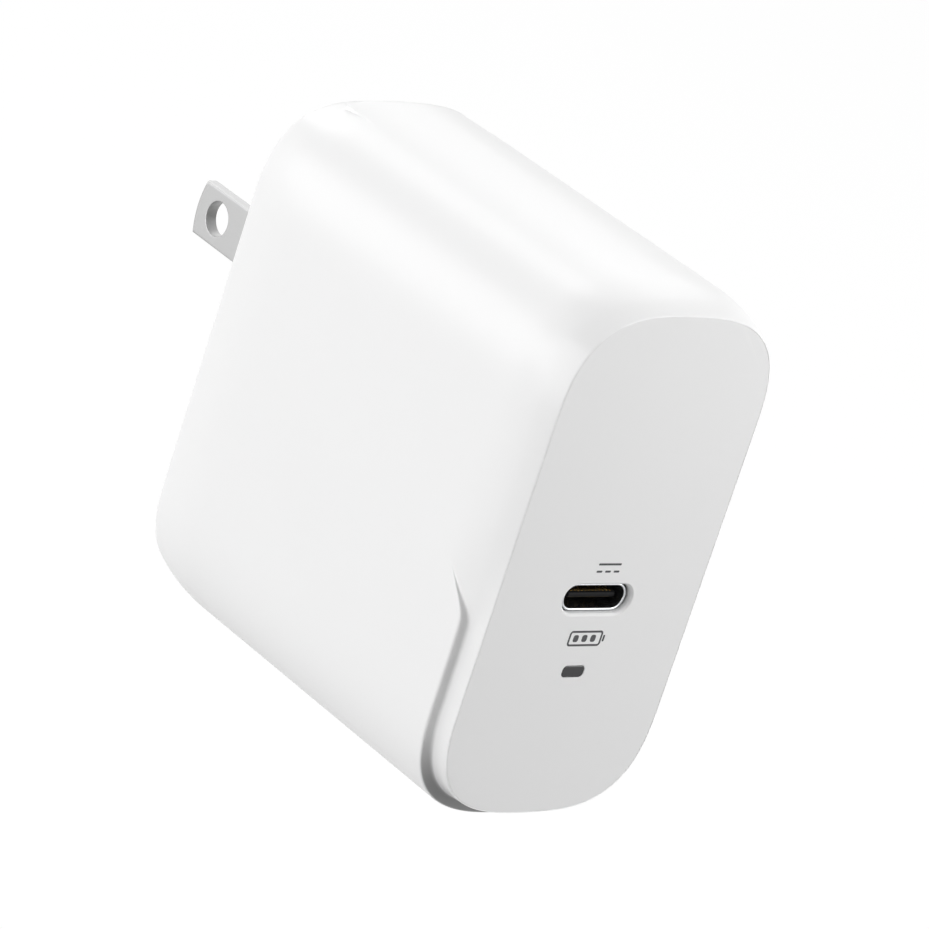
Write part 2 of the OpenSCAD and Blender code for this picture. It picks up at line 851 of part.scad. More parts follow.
housing();
front_panel();
port_shell();
port_tongue();
port_contacts();
indicator_window();
status_light();
blade_left();
blade_right();
blade_carrier();
blade_bay();
detent_spring();
contact_spring_left();
contact_spring_right();
neutral_lead();
live_lead();
main_board();
output_board();
board_screws();
fuse();
varistor();
x_capacitor();
y_capacitor();
choke_core();
choke_winding_left();
choke_winding_right();
bridge_rectifier();
bulk_capacitor_1();
bulk_capacitor_2();
transformer_core_lower();
transformer_core_upper();
transformer_bobbin();
transformer_winding();
switch_transistor();
sync_rectifier();
controller_chip();
optocoupler();
chip_parts();
output_capacitor_1();
output_capacitor_2();
thermal_pad_left();
thermal_pad_right();
heat_spreader_left();
heat_spreader_right();
insulating_sheet_left();
insulating_sheet_right();
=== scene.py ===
import json
import math

import bmesh
import bpy
from mathutils import Matrix, Vector


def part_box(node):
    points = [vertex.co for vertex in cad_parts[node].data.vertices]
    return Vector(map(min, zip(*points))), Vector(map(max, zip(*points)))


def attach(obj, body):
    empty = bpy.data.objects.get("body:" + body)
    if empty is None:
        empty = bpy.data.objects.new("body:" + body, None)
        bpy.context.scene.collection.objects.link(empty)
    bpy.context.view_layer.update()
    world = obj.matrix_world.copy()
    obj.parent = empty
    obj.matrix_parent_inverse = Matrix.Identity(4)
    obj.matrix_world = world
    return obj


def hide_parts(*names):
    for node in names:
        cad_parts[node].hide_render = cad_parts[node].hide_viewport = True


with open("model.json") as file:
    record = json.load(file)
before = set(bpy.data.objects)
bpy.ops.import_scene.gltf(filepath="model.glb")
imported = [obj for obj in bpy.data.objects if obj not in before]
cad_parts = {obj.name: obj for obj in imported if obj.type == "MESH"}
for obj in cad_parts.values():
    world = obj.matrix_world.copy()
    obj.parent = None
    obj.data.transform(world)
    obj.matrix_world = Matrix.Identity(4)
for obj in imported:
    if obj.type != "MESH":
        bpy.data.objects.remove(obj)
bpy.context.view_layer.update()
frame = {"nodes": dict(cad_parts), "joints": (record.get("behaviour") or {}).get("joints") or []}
mm = 0.001
outward = Vector((1, 0, 0))  # the way the components stand out of the main board
rearward = Vector((0, 1, 0))  # out of the front panel's back, and along the blades
finishes = {}  # the materials by name; most are named after the slot they are for


class Wire:  # a node's output, which takes part in sums
    def __init__(self, graph, socket):
        self.graph = graph
        self.socket = socket

    def calc(self, operation, *values):
        return self.graph.node("ShaderNodeMath", {"operation": operation}, dict(enumerate(values)))

    def __add__(self, other):
        return self.calc("ADD", self, other)

    def __sub__(self, other):
        return self.calc("SUBTRACT", self, other)

    def __rsub__(self, other):
        return self.calc("SUBTRACT", other, self)

    def __mul__(self, other):
        return self.calc("MULTIPLY", self, other)

    def __gt__(self, other):
        return self.calc("GREATER_THAN", self, other)

    def __lt__(self, other):
        return self.calc("LESS_THAN", self, other)

    __radd__ = __add__
    __rmul__ = __mul__


class Graph:  # the nodes of a material or of the world
    def __init__(self, owner):
        owner.use_nodes = True
        self.tree = owner.node_tree
        self.tree.nodes.clear()

    def node(self, kind, settings=None, inputs=None, out=0):
        made = self.tree.nodes.new(kind)
        for name, value in (settings or {}).items():
            setattr(made, name, value)
        for name, value in (inputs or {}).items():
            if isinstance(value, Wire):
                self.tree.links.new(value.socket, made.inputs[name])
            else:
                made.inputs[name].default_value = value
        return Wire(self, made.outputs[out]) if made.outputs else None

    def mix(self, factor, first, second):  # of two colours
        return self.node("ShaderNodeMix", {"data_type": "RGBA"}, {0: factor, 6: first, 7: second}, 2)

    def vector(self, operation, inputs):
        return self.node("ShaderNodeVectorMath", {"operation": operation}, inputs)

    def place(self):  # where a point of the piece is, in millimetres
        spot = self.node("ShaderNodeTexCoord", out="Object")
        return self.vector("SCALE", {0: spot, "Scale": 1 / mm})

    def axis(self, vector, name):
        return self.node("ShaderNodeSeparateXYZ", None, {0: vector}, name)

    def pick(self, vector):  # a steady random number for each place
        return self.node("ShaderNodeTexWhiteNoise", {"noise_dimensions": "3D"}, {"Vector": vector})

    def stretched(self, vector, scale):
        return self.vector("MULTIPLY", {0: vector, 1: scale})

    def noise(self, vector, scale, detail=2):
        return self.node("ShaderNodeTexNoise", None, {"Vector": vector, "Scale": scale, "Detail": detail})

    def shown(self):  # 1 where the background is looked at, straight or in metal and glass
        path = "ShaderNodeLightPath"
        straight = self.node(path, out="Is Camera Ray")
        bent = self.node(path, out="Is Glossy Ray") + self.node(path, out="Is Transmission Ray")
        return straight.calc("MINIMUM", straight + bent, 1)

    def ramp(self, value, start, end):  # from 0 to 1 between two values
        sockets = {"Value": value, "From Min": start, "From Max": end}
        return self.node("ShaderNodeMapRange", {"interpolation_type": "SMOOTHSTEP"}, sockets)

    def bump(self, height, depth):  # depth in millimetres
        sockets = {"Height": height, "Distance": depth * mm, "Strength": 1}
        return self.node("ShaderNodeBump", None, sockets)


def colour(code):  # from #rrggbb as displayed
    parts = [int(code[i:i + 2], 16) / 255 for i in (1, 3, 5)]
    return [p / 12.92 if p <= 0.04045 else ((p + 0.055) / 1.055) ** 2.4 for p in parts] + [1]


def shade(code, factor):
    return [part * factor for part in colour(code)[:3]] + [1]


def newMaterial(name, constants, paint):
    made = bpy.data.materials.new(name)
    graph = Graph(made)
    varied = paint(graph, graph.place())
    shader = graph.node("ShaderNodeBsdfPrincipled", None, {**constants, **varied})
    graph.node("ShaderNodeOutputMaterial", None, {"Surface": shader})
    finishes[name] = made


def creaseShadeMask(g, place, creaseShade):
    # Painted shade: 1 in the foot of the step where it runs under the body and lies in its shadow, fading
    # out on its way up
    back = g.axis(place, "Y")
    under = g.ramp(g.axis(place, "Z"), *creaseShade["height"])
    return under * g.ramp(back, *creaseShade["foot"]) * (1 - g.ramp(back, *creaseShade["crest"]))


def plastic(name, code, rough=0.4, grain=0.002, clouds=0.02, coat=0.0, size=9, shine=0.5, creaseShade=None):
    # Moulded plastic: faint clouds in its colour, and a grain of a depth in millimetres
    def paint(g, place):
        cloud = g.noise(place, 0.06, 3)
        fine = g.noise(place, size, 2)
        base = g.mix(cloud, shade(code, 1 - clouds), shade(code, 1 + clouds))
        # Painted shade: the foot of the step is darkened in the base colour where the body shadows it
        if creaseShade:
            base = g.mix(creaseShadeMask(g, place, creaseShade), base, colour(creaseShade["code"]))
        return {
            "Base Color": base,
            "Roughness": rough - 0.04 + cloud * 0.05 + fine * 0.03,
            "Normal": g.bump(fine, grain),
        }
    constants = {"Coat Weight": coat, "Coat Roughness": 0.15, "Specular IOR Level": shine}
    newMaterial(name, constants, paint)


def metal(name, code, rough=0.3, along=(1, 1, 1), dull=0.12, depth=0.003):
    # Brushed metal, with duller patches
    def paint(g, place):
        brushed = g.noise(g.stretched(place, along), 3, 4)
        tarnish = g.noise(place, 0.35, 3)
        return {
            "Base Color": g.mix(tarnish, shade(code, 1 - dull), colour(code)),
            "Roughness": rough - 0.06 + brushed * 0.1 + tarnish * 0.05,
            "Normal": g.bump(brushed, depth),
        }
    newMaterial(name, {"Metallic": 1}, paint)


def board(name, lacquer, run):
    def paint(g, place):
        # Copper runs under the lacquer keep one direction in each patch
        patch = g.vector("FLOOR", {0: g.stretched(place, (0.2, 0.17, 0.17))})
        turned = g.pick(patch) > 0.5
        across = g.axis(place, "Y") * turned + g.axis(place, "Z") * (1 - turned)
        lines = (across.calc("FRACT", across * 1.15) < 0.5) * (g.noise(place, 0.35) > 0.47)
        fine = g.noise(place, 6, 3)
        return {
            "Base Color": g.mix(lines, colour(lacquer), colour(run)),
            "Roughness": 0.28 + fine * 0.12,
            "Normal": g.bump(lines, 0.02),
        }
    newMaterial(name, {}, paint)


def sleeve(name, code, foot, radius, top):
    def paint(g, place):
        # A printed stripe down one side, and a bare scored lid at the top
        y = g.axis(place, "Y") - foot.y
        z = g.axis(place, "Z") - foot.z
        away = y.calc("SQRT", y * y + z * z)
        lid = (g.axis(place, "X") > top - 0.3) * (away < radius - 0.75)
        turn = y.calc("ARCTAN2", z, y)
        stripe = turn.calc("ABSOLUTE", turn - 1.9) < 0.36
        score = y.calc("MINIMUM", y.calc("ABSOLUTE", y), z.calc("ABSOLUTE", z)) < 0.14
        brushed = g.noise(g.stretched(place, (1, 1, 6)), 3, 3)
        film = g.mix(stripe, colour(code), colour("#8f959b"))
        return {
            "Base Color": g.mix(lid, film, colour("#c9ccd0")),
            "Metallic": lid,
            "Roughness": 0.28 + brushed * 0.15,
            "Normal": g.bump(brushed * 0.02 - score * lid, 0.12),
        }
    newMaterial(name, {}, paint)


def taped(name, code):
    def paint(g, place):
        # Each turn of tape leaves its edge a little proud
        edge = place.calc("FRACT", g.axis(place, "X") * 0.36 + g.noise(place, 0.2) * 0.15)
        wrinkle = g.noise(place, 1.6, 4)
        return {
            "Base Color": g.mix(edge, shade(code, 0.85), colour(code)),
            "Roughness": 0.22 + wrinkle * 0.16,
            "Normal": g.bump(edge + wrinkle * 0.4, 0.05),
        }
    newMaterial(name, {"Coat Weight": 0.3}, paint)


def chipBody(name, body, end, start, pitch, length):
    def paint(g, place):
        # Small parts in rows, each with a tinned cap at both ends
        local = place.calc("FRACT", (g.axis(place, "Z") - start) * (1 / pitch)) * pitch
        caps = 1 - (local > length * 0.22) * (local < length * 0.78)
        fine = g.noise(place, 7, 3)
        return {
            "Base Color": g.mix(caps, colour(body), colour(end)),
            "Metallic": caps,
            "Roughness": 0.3 + fine * 0.2,
            "Normal": g.bump(fine, 0.01),
        }
    newMaterial(name, {}, paint)


def glass(name, code):
    def paint(g, place):
        cloud = g.noise(place, 0.8, 3)
        return {
            "Base Color": g.mix(cloud, shade(code, 0.97), colour(code)),
            "Roughness": 0.03 + cloud * 0.04,
        }
    newMaterial(name, {"Transmission Weight": 0.9, "IOR": 1.5}, paint)


def boxOf(node):
    low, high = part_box(node)
    return low / mm, high / mm


def newObject(name, data):
    made = bpy.data.objects.new(name, data)
    bpy.context.scene.collection.objects.link(made)
    return made


def newPiece(name, bm, slot, replaced, body="body", finish=None, sharp=38):
    # Edges steeper than an angle in degrees stay sharp
    bmesh.ops.scale(bm, vec=(mm, mm, mm), verts=bm.verts)
    mesh = bpy.data.meshes.new(name)
    bm.to_mesh(mesh)
    bm.free()
    mesh.shade_smooth()
    mesh.set_sharp_from_angle(angle=math.radians(sharp))
    mesh.materials.append(finishes[finish or slot])
    piece = newObject(name, mesh)
    flat = piece.modifiers.new("flat faces stay flat", "WEIGHTED_NORMAL")
    flat.keep_sharp = True
    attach(piece, body)
    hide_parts(*replaced)


def newMesh():
    bm = bmesh.new()
    bm.verts.layers.int.new("order")
    return bm


def edgesOf(verts):
    return list(dict.fromkeys(e for v in verts for e in v.link_edges))


def loft(bm, rings):
    # Draws each ring of points out of the last one, and returns the first and last rings' edges
    order = bm.verts.layers.int["order"]
    verts = bmesh.ops.create_circle(bm, segments=len(rings[0]), radius=1)["verts"]
    for i, v in enumerate(verts):
        v[order] = i
        v.co = rings[0][i]
    edges = edgesOf(verts)
    first = edges
    for ring in rings[1:]:
        made = bmesh.ops.extrude_edge_only(bm, edges=edges)["geom"]
        verts = {g for g in made if isinstance(g, bmesh.types.BMVert)}
        edges = [g for g in made if isinstance(g, bmesh.types.BMEdge) and verts.issuperset(g.verts)]
        for v in verts:
            v.co = ring[v[order]]
    return first, edges


def fill(bm, facing, *loops):
    # Closes the flat space between an outer loop and the holes in it
    edges = [e for loop in loops for e in loop]
    bmesh.ops.triangle_fill(bm, edges=edges, use_beauty=True, normal=facing)


def close(bm):
    bmesh.ops.remove_doubles(bm, verts=bm.verts, dist=0.0005)
    bmesh.ops.recalc_face_normals(bm, faces=bm.faces)


def curveOf(first, corner, last, steps):
    # Points of a round corner, from one leg to the other
    return [
        tuple((1 - t) ** 2 * a + 2 * t * (1 - t) * b + t * t * c for a, b, c in zip(first, corner, last))
        for t in (i / steps for i in range(steps + 1))
    ]


def inward(points, amounts):
    # Moves each corner of a flat outline towards its inside, by its own amount
    moved = []
    count = len(points)
    for i, (spot, amount) in enumerate(zip(points, amounts)):
        before = (spot - points[i - 1]).normalized()
        after = (points[(i + 1) % count] - spot).normalized()
        normal = Vector((-before.y - after.y, before.x + after.x)).normalized()
        across = max(0.5, normal.dot(Vector((-before.y, before.x))))
        moved.append(spot + normal * amount / across)
    return moved


def roundRing(halfW, halfH, radius, y, z=0.0, x=0.0, steps=8):
    # A rounded rectangle that faces front, at a distance behind the front rim
    ring = []
    for i, (sx, sz) in enumerate(((1, -1), (1, 1), (-1, 1), (-1, -1))):
        for k in range(steps + 1):
            turn = math.pi / 2 * (i - 1 + k / steps)
            ring.append(Vector((
                x + sx * (halfW - radius) + radius * math.cos(turn), frontY + y,
                z + sz * (halfH - radius) + radius * math.sin(turn),
            )))
    return ring


def fullTurn(count):
    return [2 * math.pi * i / count for i in range(count)]


def turned(spot, axis, rows, count=40):
    # Circles round a line, each given by its distance along the line and its radius
    side = axis.orthogonal().normalized()
    other = axis.cross(side)
    circle = [side * math.cos(t) + other * math.sin(t) for t in fullTurn(count)]
    return [[spot + axis * along + way * radius for way in circle] for along, radius in rows]


def wire(bm, path, radius, count=8):
    # A round wire along a path, with flat ends
    side = (path[1] - path[0]).orthogonal()
    rings = []
    for i, spot in enumerate(path):
        ahead = (path[min(i + 1, len(path) - 1)] - path[max(i - 1, 0)]).normalized()
        side = (side - ahead * side.dot(ahead)).normalized()
        other = ahead.cross(side)
        circle = [side * math.cos(t) + other * math.sin(t) for t in fullTurn(count)]
        rings.append([spot + way * radius for way in circle])
    capped(bm, rings)


def soften(bm, edges, size, segments, clamped):
    bmesh.ops.bevel(bm, geom=edges, offset=size, segments=segments, affect="EDGES", profile=0.5,
        material=-1, clamp_overlap=clamped)


def block(bm, low, high, edge=0.15):
    # A box with rounded edges
    made = bmesh.ops.create_cube(bm, size=1)["verts"]
    bmesh.ops.scale(bm, vec=high - low, verts=made)
    bmesh.ops.translate(bm, vec=(low + high) / 2, verts=made)
    soften(bm, edgesOf(made), edge, 2, False)


def capped(bm, rings):
    # A loft with both ends closed
    for end in loft(bm, rings):
        bmesh.ops.contextual_create(bm, geom=end)


def simplePiece(name, draw, rings, slot, node, finish=None):
    # A piece of the body, drawn by loft or capped
    bm = newMesh()
    draw(bm, rings)
    close(bm)
    newPiece(name, bm, slot, [node], finish=finish)


def refine(node, slot, bevel, body="body", segments=2, finish=None):
    # A copy of a CAD node with its edges rounded
    bm = bmesh.new()
    bm.from_mesh(frame["nodes"][node].data)
    bmesh.ops.scale(bm, vec=(1 / mm, 1 / mm, 1 / mm), verts=bm.verts)
    bmesh.ops.remove_doubles(bm, verts=bm.verts, dist=0.001)
    bmesh.ops.dissolve_limit(bm, angle_limit=math.radians(1), verts=bm.verts, edges=bm.edges)
    edges = [e for e in bm.edges if len(e.link_faces) == 2 and e.calc_face_angle() > math.radians(30)]
    soften(bm, edges, bevel, segments, True)
    newPiece(node + "_finished", bm, slot, [node], body, finish)


def clamp(value, low=0.0, high=1.0):
    return min(high, max(low, value))


def ease(value):
    value = clamp(value)
    return value * value * (3 - 2 * value)


shape = {  # the sculpted body, in millimetres; heights are from its middle
    "flatHeight": 32.4,
    "endPower": 2.94,
    "proud": 1.2,
    "frontRoll": 7.6,
    "stepDepth": 2.5,
    "stepTop": -6.75,
    "creaseTop": -1.6,
    "rearInset": 1.45,
    "rearRoll": 10,
    "rearEdge": 1,
    "lipWidth": 16.4,
    "lipBack": 3.5,
    "rim": 0.3,
    "panelGap": 0.05,
    "panelThick": 1,
    "skirtLength": 4,
    "skirtThick": 1,
    "sideWall": 2.4,
    "rearWall": 2,
    "wallRows": 18,
}
bodyLow, bodyHigh = boxOf("housing")
halfT = bodyHigh.x
frontY = bodyLow.y
depth = bodyHigh.y - bodyLow.y
midZ = (bodyLow.z + bodyHigh.z) / 2
flatHalf = shape["flatHeight"] / 2
capH = (bodyHigh.z - bodyLow.z) / 2 - flatHalf
lipY = depth - shape["lipBack"]


def bent(value):
    return math.copysign(abs(value) ** (2 / shape["endPower"]), value)


def columnAt(turn):
    # Once round the outline: 0 to 1 over the top, to 2 down a side, to 3 under, to 4 up again.
    # A column is its share of the half width, the height it stands on and its share of the end.
    part = turn % 1
    if turn < 1:
        return bent(math.cos(math.pi * part)), flatHalf, bent(math.sin(math.pi * part))
    if turn < 2:
        return -1.0, flatHalf * (1 - 2 * part), 0.0
    if turn < 3:
        return bent(-math.cos(math.pi * part)), -flatHalf, -bent(math.sin(math.pi * part))
    return 1.0, flatHalf * (2 * part - 1), 0.0


def outline(column, inset, y):
    across, base, end = column
    return Vector((across * (halfT - inset), frontY + y, midZ + base + end * (capH - inset)))


def turnAtSide(x):
    return math.acos((x / halfT) ** (shape["endPower"] / 2)) / math.pi


def turnAtHeight(h):
    return 1 + (flatHalf - h) / (2 * flatHalf)


def stretch(start, end, count):
    # Columns at even distances along the outline
    samples = 40 * count
    turns = [start + (end - start) * min(i / samples, 1 - 1e-9) for i in range(samples + 1)]
    spots = [outline(columnAt(t), 0, 0) for t in turns]
    run = [0]
    for a, b in zip(spots, spots[1:]):
        run.append(run[-1] + (b - a).length)
    spread = []
    k = 0
    for i in range(count):
        want = run[-1] * i / count
        while run[k + 1] <= want:
            k += 1
        part = (want - run[k]) / (run[k + 1] - run[k])
        spread.append(columnAt(turns[k] + (turns[k + 1] - turns[k]) * part))
    return spread


# Columns stand closer where the lip ends and where the step's edge turns away
lipHalf = shape["lipWidth"] / 2
nearLip = 0.5
lipOut = turnAtSide(lipHalf + nearLip)
lipIn = turnAtSide(lipHalf - nearLip)
stepLow = turnAtHeight(-10)
stepHigh = turnAtHeight(0)
columns = []
for start, end, count in (
    (0, lipOut, 30), (lipOut, lipIn, 14), (lipIn, 1 - lipIn, 44), (1 - lipIn, 1 - lipOut, 14),
    (1 - lipOut, 1, 30), (1, stepHigh, 28), (stepHigh, stepLow, 44), (stepLow, 2, 10), (2, 3, 110),
    (3, 5 - stepLow, 10), (5 - stepLow, 5 - stepHigh, 44), (5 - stepHigh, 4, 28),
):
    columns += stretch(start, end, count)


step = {  # how the strip, the step's wall and the rim run into each other, in millimetres
    "rollBlend": 10,
    "stripBlend": 3,
    "lean": 0.2,
    "turn": 0.17,
    "draft": 0.12,
    "leg": 0.35,
    "rimEdge": 0.06,
    "stripRows": 14,
}


def frontInset(h, y):
    # The surface from the front rim back to the sleeve: a flat strip below, a roll above
    u = clamp(y / shape["frontRoll"])
    above = clamp((h - shape["stepTop"]) / step["rollBlend"])
    roll = above * (1 - u) ** 2 + (1 - above) * (1 + math.cos(math.pi * u)) / 2
    strip = ease((shape["stepTop"] + step["stripBlend"] / 2 - h) / step["stripBlend"])
    lean = step["lean"] * (1 - clamp(y / shape["stepDepth"]))
    return shape["proud"] * (strip + roll * (1 - strip)) + lean


def edgeY(h):
    # Where the sleeve starts: its edge turns away at the step's upper end
    u = (h - shape["stepTop"]) / (shape["creaseTop"] - shape["stepTop"])
    rise = clamp((u + math.sqrt(u * u + step["turn"] * step["turn"])) / 2)
    return shape["stepDepth"] + (shape["frontRoll"] - shape["stepDepth"]) * rise


def rearInset(y):
    return shape["rearInset"] * clamp((y - depth + shape["rearRoll"]) / shape["rearRoll"]) ** 2.2


def spaced(start, end, count):
    return [start + (end - start) * (i + 1) / (count + 1) for i in range(count)]


def frontRows(h):
    # The profile from the rim to behind the sleeve's edge, as distances back and inwards
    leg = step["leg"]
    rimEdge = step["rimEdge"]
    edge = edgeY(h)
    foot = (edge - step["draft"], frontInset(h, edge - step["draft"]))
    crest = (edge, 0.0)
    wall = math.hypot(crest[0] - foot[0], crest[1] - foot[1])
    along = min(leg, 0.45 * wall) / wall
    low = tuple(f + (c - f) * along for f, c in zip(foot, crest))
    high = tuple(c + (f - c) * along * 0.8 for f, c in zip(foot, crest))
    before = (foot[0] - leg, frontInset(h, foot[0] - leg))
    rim = frontInset(h, 0)
    rows = curveOf((0, rim + rimEdge), (0, rim), (rimEdge, frontInset(h, rimEdge)), 4)
    rows += [(y, frontInset(h, y)) for y in spaced(rimEdge, before[0], step["stripRows"])]
    rows += curveOf(before, foot, low, 5) + curveOf(high, crest, (edge + leg, 0), 5)
    return rows


lip = {"ends": 0.24, "leg": 0.2, "draft": 0.12}  # its ends slope, its edge is rounded and drafted


def rearRows(column):
    # The profile's rear end, where the lip stands proud at the top
    across, _, end = column
    x = abs(across) * halfT
    onLip = ease((lipHalf - x) / lip["ends"] + 0.5) if end > 0 else 0
    leg = lip["leg"]
    draft = lip["draft"]
    foot = (lipY + draft, rearInset(lipY + draft))
    low = (lipY + draft * 0.35, foot[1] * 0.35)
    high = (lipY + draft * 0.65, foot[1] * 0.65)
    lipRows = curveOf((lipY - leg, 0), (lipY, 0), low, 4)
    lipRows += curveOf(high, foot, (foot[0] + leg, rearInset(foot[0] + leg)), 4)
    start = depth - shape["rearRoll"]
    ys = spaced(start, lipY - leg, 10)
    rows = [(y, rearInset(y) * (1 - onLip)) for y in ys]
    rows += [(y, inset * onLip + rearInset(y) * (1 - onLip)) for y, inset in lipRows]
    edge = shape["rearEdge"]
    rows += [(y, rearInset(y)) for y in spaced(lipRows[-1][0], depth - edge, 5)]
    for i in range(8):
        turn = math.pi / 2 * i / 7
        y = depth - edge * (1 - math.sin(turn))
        rows.append((y, rearInset(y) + edge * (1 - math.cos(turn))))
    return rows


def roundedBox(angle, halfW, halfH, radius):
    # Where a ray from the middle leaves a rounded rectangle
    c = math.cos(angle)
    s = math.sin(angle)
    reach = min(halfW / max(abs(c), 1e-9), halfH / max(abs(s), 1e-9))
    cornerX = math.copysign(halfW - radius, c)
    cornerZ = math.copysign(halfH - radius, s)
    if abs(reach * c) > abs(cornerX) and abs(reach * s) > abs(cornerZ):
        b = c * cornerX + s * cornerZ
        reach = b + math.sqrt(b * b - cornerX ** 2 - cornerZ ** 2 + radius ** 2)
    return reach * c, reach * s


bay = {  # the opening in the rear wall that holds the plug's insert
    "flange": 1.4,
    "corner": 1.5,
    "gap": 0.1,
    "edge": 0.12,
    "support": 0.2,
}
bayLow, bayHigh = boxOf("blade_bay")
bayHalfW = bayHigh.x - bay["flange"]
bayHalfH = (bayHigh.z - bayLow.z) / 2 - bay["flange"]
bayMidZ = (bayHigh.z + bayLow.z) / 2
panelInset = shape["proud"] + shape["rim"]


def bayRing(grown, y):
    # The bay's outline, with a point opposite each column
    ring = []
    for column in columns:
        spot = outline(column, shape["rearInset"] + shape["rearEdge"], 0)
        x, z = roundedBox(math.atan2(spot.z - bayMidZ, spot.x), bayHalfW + grown, bayHalfH + grown,
            bay["corner"] + grown)
        ring.append(Vector((x, frontY + y, bayMidZ + z)))
    return ring


def makeHousing():
    bm = newMesh()
    gap = bay["gap"]
    flared = gap + bay["edge"]
    start = depth - bay["edge"]
    middle = spaced(0, 1, shape["wallRows"])
    profiles = []
    for column in columns:
        front = frontRows(column[1])
        near = front[-1][0]
        far = depth - shape["rearRoll"]
        rows = front + [(near + (far - near) * part, 0) for part in middle] + rearRows(column)
        profiles.append(rows)
    rings = [bayRing(gap, start), bayRing(flared, depth), bayRing(flared + bay["support"], depth)]
    for k in reversed(range(len(profiles[0]))):
        rings.append([outline(c, rows[k][1], rows[k][0]) for c, rows in zip(columns, profiles)])
    inner = [
        (0, panelInset - 0.02), (0.02, panelInset), (shape["panelThick"], panelInset),
        (shape["panelThick"], shape["sideWall"]), (depth - shape["rearWall"], shape["sideWall"]),
    ]
    rings += [[outline(c, inset, y) for c in columns] for y, inset in inner]
    rings += [bayRing(gap, depth - shape["rearWall"]), bayRing(gap, start)]
    loft(bm, rings)
    makeRails(bm)
    close(bm)
    newPiece("housing_shell", bm, "white_shell", ["housing"], sharp=50)


panel = {  # the front plate, in millimetres; the posts' heights are from the body's middle
    "sunk": 0.01, "edge": 0.05, "gap": 0.02, "skirtEdge": 0.3,
    "posts": ((-8, 5), (8, -17)), "postR": 2, "postHole": 0.8, "postEdge": 0.15, "holeDepth": 4,
    "funnel": 0.25, "funnelEdge": 0.06,
    "portPlay": (0.28, 0.06), "windowPlay": 0.03,
}
portLow, portHigh = boxOf("port_shell")
portZ = (portLow.z + portHigh.z) / 2
portHalfW = portHigh.x
portHalfH = (portHigh.z - portLow.z) / 2
portFront = portLow.y - frontY
portBack = portHigh.y - frontY
windowLow, windowHigh = boxOf("indicator_window")
windowZ = (windowLow.z + windowHigh.z) / 2
windowHalfW = windowHigh.x
windowHalfH = (windowHigh.z - windowLow.z) / 2
indicator = {"corner": 0.5, "rounding": ((0.0, -0.12), (0.015, -0.05), (0.06, 0.0)), "lightEdge": 0.05}


def portRing(grown, y):
    return roundRing(portHalfW + grown, portHalfH + grown, portHalfH + grown, y, portZ)


def portHole(grown, y):
    ends, sides = panel["portPlay"]
    halfH = portHalfH + sides + grown
    return roundRing(portHalfW + ends + grown, halfH, halfH, y, portZ)


def windowRing(grown, y):
    corner = indicator["corner"] + grown
    return roundRing(windowHalfW + grown, windowHalfH + grown, corner, y, windowZ)


def makePanel():
    bm = newMesh()
    face = panel["sunk"]
    edge = panel["edge"]
    thick = shape["panelThick"]
    side = panelInset + panel["gap"]
    skirt = shape["sideWall"] + shape["panelGap"]
    skirtEnd = thick + shape["skirtLength"]
    rows = curveOf((face, side + edge), (face, side), (face + edge, side), 4)
    chamfer = panel["skirtEdge"]
    rows += [(thick, side), (thick, skirt), (skirtEnd - chamfer, skirt), (skirtEnd, skirt + chamfer)]
    rows += [(skirtEnd, skirt + shape["skirtThick"]), (thick, skirt + shape["skirtThick"])]
    front, back = loft(bm, [[outline(c, inset, y) for c in columns] for y, inset in rows])

    funnel = panel["funnel"]
    soft = panel["funnelEdge"]
    flare = curveOf((face, funnel + soft), (face, funnel), (face + soft, funnel - soft), 3)
    flare += curveOf((face + funnel - soft, soft), (face + funnel, 0), (face + funnel + 0.08, 0), 3)
    flare += [(thick, 0)]
    portFace, portEnd = loft(bm, [portHole(grown, y) for y, grown in flare])

    play = panel["windowPlay"]
    around = [(face, play + edge), (face + edge, play), (thick, play)]
    windowFace, windowEnd = loft(bm, [windowRing(grown, y) for y, grown in around])

    posts = []
    radius = panel["postR"]
    hole = panel["postHole"]
    chamfer = panel["postEdge"]
    inside = portBack - panel["holeDepth"]
    rows = [(thick, radius), (portBack - chamfer, radius), (portBack, radius - chamfer)]
    rows += [(portBack, hole + chamfer), (portBack - chamfer, hole), (inside, hole)]
    for x, h in panel["posts"]:
        foot = Vector((x, frontY, midZ + h))
        start, end = loft(bm, turned(foot, rearward, rows, 32))
        bmesh.ops.contextual_create(bm, geom=end)
        posts.append(start)
    fill(bm, (0, -1, 0), front, portFace, windowFace)
    fill(bm, (0, -1, 0), back, portEnd, windowEnd, *posts)
    close(bm)
    newPiece("front_panel_plate", bm, "grey_panel", ["front_panel"])


marks = {  # printed signs: direct current over the port, a battery under it
    "stroke": 0.24, "x": 0.1,
    "currentTop": -8.45, "currentBottom": -9.3, "currentHalfW": 1.6, "dash": 0.78,
    "batteryZ": -17.2, "batteryHalfW": 2.35, "batteryHalfH": 0.92,
    "corner": 0.4, "poleHalf": (0.13, 0.38),
    "bars": 3, "barHalfW": 0.36, "barPitch": 1.22,
}


